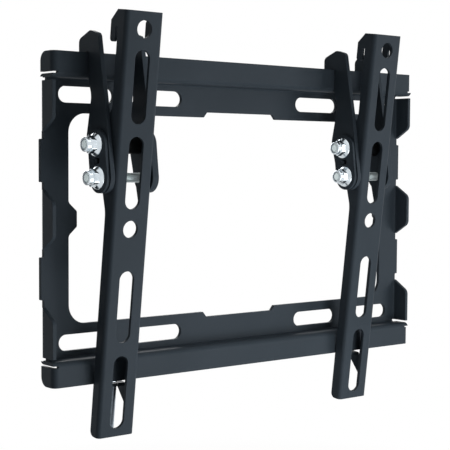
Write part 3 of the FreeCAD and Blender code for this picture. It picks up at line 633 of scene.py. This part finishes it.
@dataclass
class Arm:
    """One arm: sheet pieces, tilt joint and safety screw, in millimetres and degrees."""

    side: Side
    stack: float = 15.85
    tilt: float = 6.933875
    face_top: tuple[float, float] = (-42.07, 94.65)
    safety_side: float = 4.6
    safety_in: float = 12.5
    safety_seat: float = 209.5
    nut: LockNut = field(default_factory=LockNut)
    bolt: Screw = field(default_factory=lambda: Screw(
        shank=2.5, pitch=0.8, length=39.0, head=4.6, head_height=2.4))
    safety: Screw = field(default_factory=lambda: Screw(
        shank=2.0, pitch=0.7, length=26.5, head=3.7, head_height=2.9, crown=0.5))

    def node(self, name: str) -> str:
        """Return the full name of one of the arm's nodes."""
        return f"{self.side.value}_arm_{name}"

    def build(self) -> None:
        """Dress the sheet pieces and build the fasteners."""
        sheets = [f"{hand.value}_{kind}" for hand in Side for kind in ("hook_plate", "clamp_plate")]
        for name in ["channel", "safety_tab"] + sheets:
            dress(self.node(name), COAT)
        dress(self.node("spacer_sleeve"), SLEEVE)
        for kind in Fastener:
            self._joint(kind)
        self._safety_screw()

    def _joint(self, kind: Fastener) -> None:
        """Build one bolt of the tilt joint with its nut and insert.

        Args:
            kind: which of the two bolts.
        """
        low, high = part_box(self.node(f"{kind.value}_lock_nut"))
        middle = (low + high) / 2
        seat = Vector((high.x, middle.y, middle.z))
        outward = Matrix.Translation(seat) @ Matrix.Rotation(math.pi, 4, "Z")
        label = f"{self.side.value}_{kind.value}"
        nut = make_piece(self.nut.nut(), f"{label}_flanged_nut", ZINC, outward)
        stand_for(nut, self.node(f"{kind.value}_lock_nut"))
        ring = make_piece(self.nut.ring(), f"{label}_nut_ring", NYLON, outward)
        stand_for(ring, self.node(f"{kind.value}_nut_insert"))
        head_seat = Matrix.Translation(seat + Vector((2.0 * self.stack * MM, 0.0, 0.0)))
        bolt = make_piece(self.bolt.mesh(), f"{label}_threaded_bolt", SATIN_ZINC, head_seat)
        stand_for(bolt, self.node(f"{kind.value}_bolt"))

    def _safety_screw(self) -> None:
        """Build the safety screw, which points up the arm from its head."""
        lean = math.radians(self.tilt)
        down = Vector((0.0, math.sin(lean), -math.cos(lean)))
        inward = Vector((0.0, math.cos(lean), math.sin(lean)))
        low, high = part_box(self.node("channel"))
        across = (low.x + high.x) / 2 + self.safety_side * MM
        seat = Vector((across, self.face_top[0] * MM, self.face_top[1] * MM))
        seat += (down * self.safety_seat + inward * self.safety_in) * MM
        level = Vector(X_AXIS)
        turn = Matrix((down, level, down.cross(level))).transposed().to_4x4()
        screw = make_piece(self.safety.mesh(), f"{self.side.value}_threaded_safety_screw", DULL_ZINC,
                           Matrix.Translation(seat) @ turn)
        stand_for(screw, self.node("safety_screw"))


@dataclass(frozen=True)
class Lamp:
    """A square soft lamp that faces the mount, in metres and watts."""

    name: str
    place: tuple[float, float, float]
    size: float
    power: float

    def hang(self) -> None:
        """Hang the lamp."""
        data = bpy.data.lights.new(self.name, "AREA")
        data.size = self.size
        data.energy = self.power
        lamp = bpy.data.objects.new(self.name, data)
        place = Vector(self.place)
        turn = (-place).to_track_quat("-Z", "Y").to_matrix().to_4x4()
        lamp.matrix_world = Matrix.Translation(place) @ turn
        bpy.context.scene.collection.objects.link(lamp)


@dataclass
class Studio:
    """Camera, floor, lamps and background, in metres and degrees."""

    camera_place: tuple[float, float, float] = (-0.45125, -0.54237, 0.02995)
    yaw: float = 39.17
    pitch: float = 3.264
    roll: float = 0.307
    focal_px: float = 1235.4
    image_px: float = 450.0
    centre_px: float = 231.81
    sensor: float = 36.0
    clip_start: float = 0.01
    floor_height: float = -0.24
    floor_size: float = 6.0
    floor_colour: Colour = (0.86, 0.86, 0.86, 1.0)
    floor_rough: float = 0.9
    shadow_near: float = 0.25
    shadow_far: float = 0.55
    shadow_glow: float = 0.80
    world_fill: float = 0.05
    lamps: tuple[Lamp, ...] = (Lamp("key", (0.85, -1.00, 0.00), 0.6, 6.5),
                               Lamp("low_front", (0.03, -0.28, -0.15), 0.18, 0.42),
                               Lamp("overhead", (0.20, -0.55, 1.15), 1.0, 2.5),
                               Lamp("back", (0.45, 1.20, 0.50), 0.9, 10.0))

    def build(self) -> None:
        """Set up the whole studio."""
        self._camera()
        self._floor()
        self._world()
        for lamp in self.lamps:
            lamp.hang()
        bpy.context.scene.view_settings.view_transform = "Standard"
        LOG.info("studio with %d lamps", len(self.lamps))

    def _camera(self) -> None:
        """Place the camera at the photograph's viewpoint."""
        yaw, pitch, roll = (math.radians(angle) for angle in (self.yaw, self.pitch, self.roll))
        ahead = Vector((math.sin(yaw) * math.cos(pitch), math.cos(yaw) * math.cos(pitch), -math.sin(pitch)))
        level = Vector((math.cos(yaw), -math.sin(yaw), 0.0))
        upright = level.cross(ahead)
        right = level * math.cos(roll) + upright * math.sin(roll)
        up = upright * math.cos(roll) - level * math.sin(roll)
        data = bpy.data.cameras.new("camera")
        data.sensor_width = self.sensor
        data.lens = self.focal_px / self.image_px * self.sensor
        data.shift_y = (self.centre_px - self.image_px / 2) / self.image_px
        data.clip_start = self.clip_start
        camera = bpy.data.objects.new("camera", data)
        turn = Matrix((right, up, -ahead)).transposed().to_4x4()
        camera.matrix_world = Matrix.Translation(self.camera_place) @ turn
        bpy.context.scene.collection.objects.link(camera)
        bpy.context.scene.camera = camera

    def _floor(self) -> None:
        """Lay a pale floor that keeps the mount's shadow and fades to white away from it."""
        shape = bmesh.new()
        bmesh.ops.create_grid(shape, x_segments=1, y_segments=1, size=self.floor_size / 2,
                              matrix=Matrix.Translation((0.0, 0.0, self.floor_height)))
        mesh = bpy.data.meshes.new("floor")
        shape.to_mesh(mesh)
        shape.free()
        material = bpy.data.materials.new("floor_white")
        material.use_nodes = True
        tree = material.node_tree
        shader = tree.nodes["Principled BSDF"]
        shader.inputs["Base Color"].default_value = self.floor_colour
        shader.inputs["Roughness"].default_value = self.floor_rough
        shader.inputs["Specular IOR Level"].default_value = 0.0
        glow = tree.nodes.new("ShaderNodeEmission")
        share = tree.nodes.new("ShaderNodeMath")
        share.operation = "MULTIPLY"
        link(tree, self._seen(tree), share.inputs[0])
        link(tree, self._fade(tree), share.inputs[1])
        mix = tree.nodes.new("ShaderNodeMixShader")
        link(tree, share.outputs["Value"], mix.inputs["Fac"])
        link(tree, shader.outputs["BSDF"], mix.inputs[1])
        link(tree, glow.outputs["Emission"], mix.inputs[2])
        link(tree, mix.outputs["Shader"], tree.nodes["Material Output"].inputs["Surface"])
        mesh.materials.append(material)
        floor = bpy.data.objects.new("floor", mesh)
        bpy.context.scene.collection.objects.link(floor)

    def _fade(self, tree: Tree) -> Socket:
        """Fade the floor to plain white by the distance from the mount.

        Args:
            tree: the floor's nodes.

        Returns:
            The output socket with the share of plain white.
        """
        place = tree.nodes.new("ShaderNodeTexCoord")
        reach = tree.nodes.new("ShaderNodeVectorMath")
        reach.operation = "LENGTH"
        fade = tree.nodes.new("ShaderNodeMapRange")
        fade.inputs["From Min"].default_value = self.shadow_near
        fade.inputs["From Max"].default_value = self.shadow_far
        fade.inputs["To Min"].default_value = self.shadow_glow
        link(tree, place.outputs["Object"], reach.inputs[0])
        link(tree, reach.outputs["Value"], fade.inputs["Value"])
        return fade.outputs["Result"]

    def _seen(self, tree: Tree) -> Socket:
        """Return a mask that is 1 where the camera, a reflection or a refraction looks.

        Args:
            tree: the node tree that needs the mask.

        Returns:
            The mask's output socket.
        """
        path = tree.nodes.new("ShaderNodeLightPath")
        first = tree.nodes.new("ShaderNodeMath")
        first.operation = "MAXIMUM"
        second = tree.nodes.new("ShaderNodeMath")
        second.operation = "MAXIMUM"
        link(tree, path.outputs["Is Camera Ray"], first.inputs[0])
        link(tree, path.outputs["Is Glossy Ray"], first.inputs[1])
        link(tree, first.outputs["Value"], second.inputs[0])
        link(tree, path.outputs["Is Transmission Ray"], second.inputs[1])
        return second.outputs["Value"]

    def _world(self) -> None:
        """Make the background white where it is seen and a softer fill elsewhere."""
        world = bpy.data.worlds.new("studio")
        bpy.context.scene.world = world
        world.use_nodes = True
        tree = world.node_tree
        fill = tree.nodes["Background"]
        fill.inputs["Color"].default_value = WHITE
        fill.inputs["Strength"].default_value = self.world_fill
        white = tree.nodes.new("ShaderNodeBackground")
        white.inputs["Color"].default_value = WHITE
        mix = tree.nodes.new("ShaderNodeMixShader")
        link(tree, self._seen(tree), mix.inputs["Fac"])
        link(tree, fill.outputs["Background"], mix.inputs[1])
        link(tree, white.outputs["Background"], mix.inputs[2])
        link(tree, mix.outputs["Shader"], tree.nodes["World Output"].inputs["Surface"])


def main() -> None:
    """Dress the mount, build its fasteners and set up the studio."""
    logging.basicConfig(level=logging.INFO)
    WallPlate().build()
    for side in Side:
        Arm(side).build()
    Studio().build()


if __name__ == "__main__":
    main()
